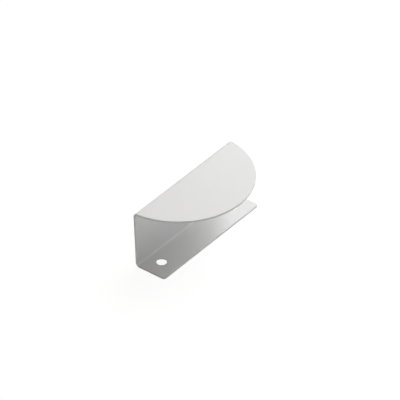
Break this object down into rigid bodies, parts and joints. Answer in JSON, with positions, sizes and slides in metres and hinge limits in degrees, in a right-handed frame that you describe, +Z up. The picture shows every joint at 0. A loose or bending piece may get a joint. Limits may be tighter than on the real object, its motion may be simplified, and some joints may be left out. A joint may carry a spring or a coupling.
{
  "type": "lip pull handle",
  "caption": "Sheet-metal lip pull folded into a C: a flat flange with screw holes, an upright web, and a half-moon lip that hooks the fingers in front of a door or drawer edge.",
  "frame": {"origin": "midway between the two screw holes, on the underside of the flange, which is the floor it stands on", "axes": "+X along the folds, -Y towards the nose of the lip, +Z up from the flange to the lip"},
  "size_m": [0.07, 0.0336, 0.03],
  "materials": {
    "white_powder_coat": "satin white powder coat on sheet steel"
  },
  "bodies": {
    "root": {"folded_plate": "white_powder_coat"}
  },
  "joints": []
}
